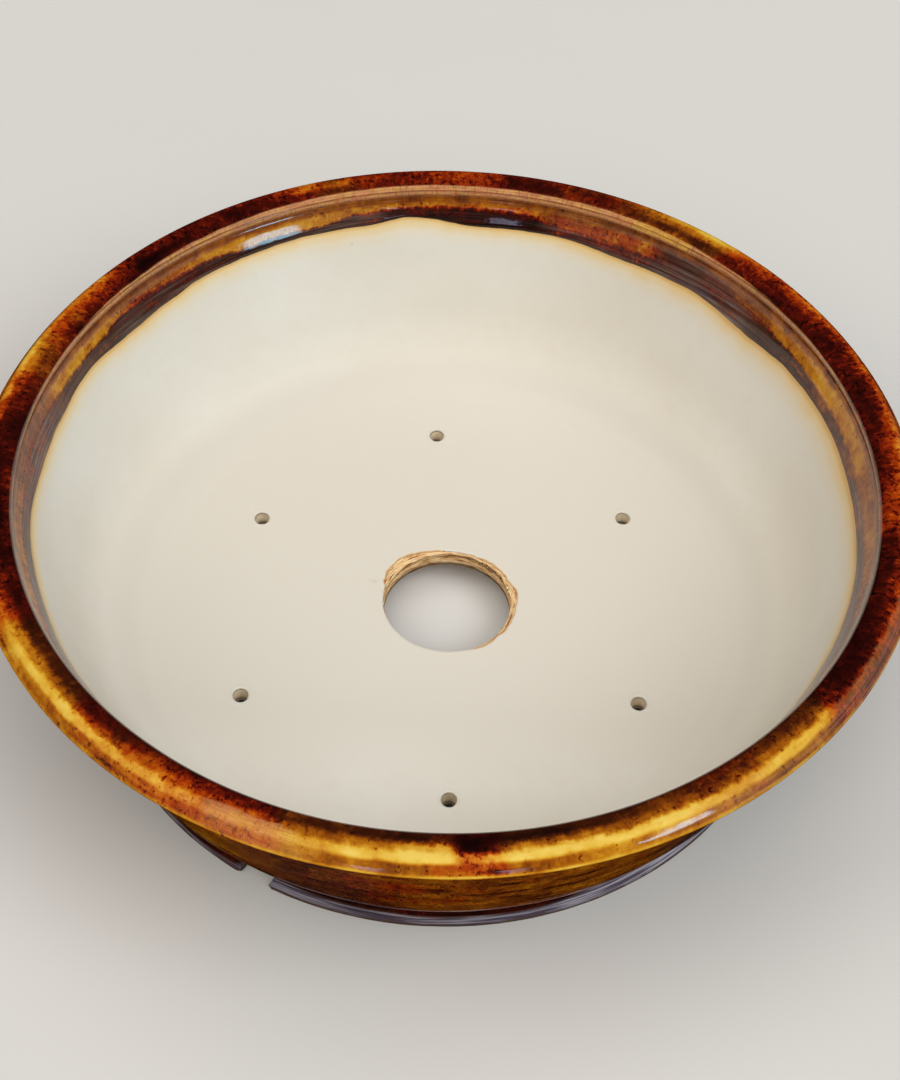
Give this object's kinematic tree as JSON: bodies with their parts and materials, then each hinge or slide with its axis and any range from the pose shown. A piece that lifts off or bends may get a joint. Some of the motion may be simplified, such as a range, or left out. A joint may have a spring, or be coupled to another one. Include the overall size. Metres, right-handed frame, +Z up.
{
  "type": "bonsai pot",
  "caption": "Shallow round bonsai pot with a rolled amber-glazed lip, cream liner, central drain hole, ring of wire holes and feet cut from a foot ring.",
  "frame": {"origin": "centre of the pot's base, on its axis, in the plane that its feet stand on", "axes": "+Z up along the pot's axis; -Y towards the viewer; the gap between feet that shows lies at front left"},
  "size_m": [0.3064, 0.3064, 0.0868],
  "materials": {
    "bare_clay": "unglazed fired stoneware, sandy and rough",
    "cream_glaze": "thin satin cream liner glaze",
    "amber_glaze": "glossy amber to maroon glaze with streaks and specks where it breaks"
  },
  "bodies": {
    "root": {"floor_slab": "bare_clay", "wall": "bare_clay", "rolled_lip": "bare_clay", "foot_rear_right": "bare_clay", "foot_left": "bare_clay", "foot_front_right": "bare_clay", "liner_glaze": "cream_glaze", "inner_band_glaze": "amber_glaze", "lip_glaze": "amber_glaze", "wall_glaze": "amber_glaze", "foot_glaze_rear_right": "amber_glaze", "foot_glaze_left": "amber_glaze", "foot_glaze_front_right": "amber_glaze"}
  },
  "joints": []
}
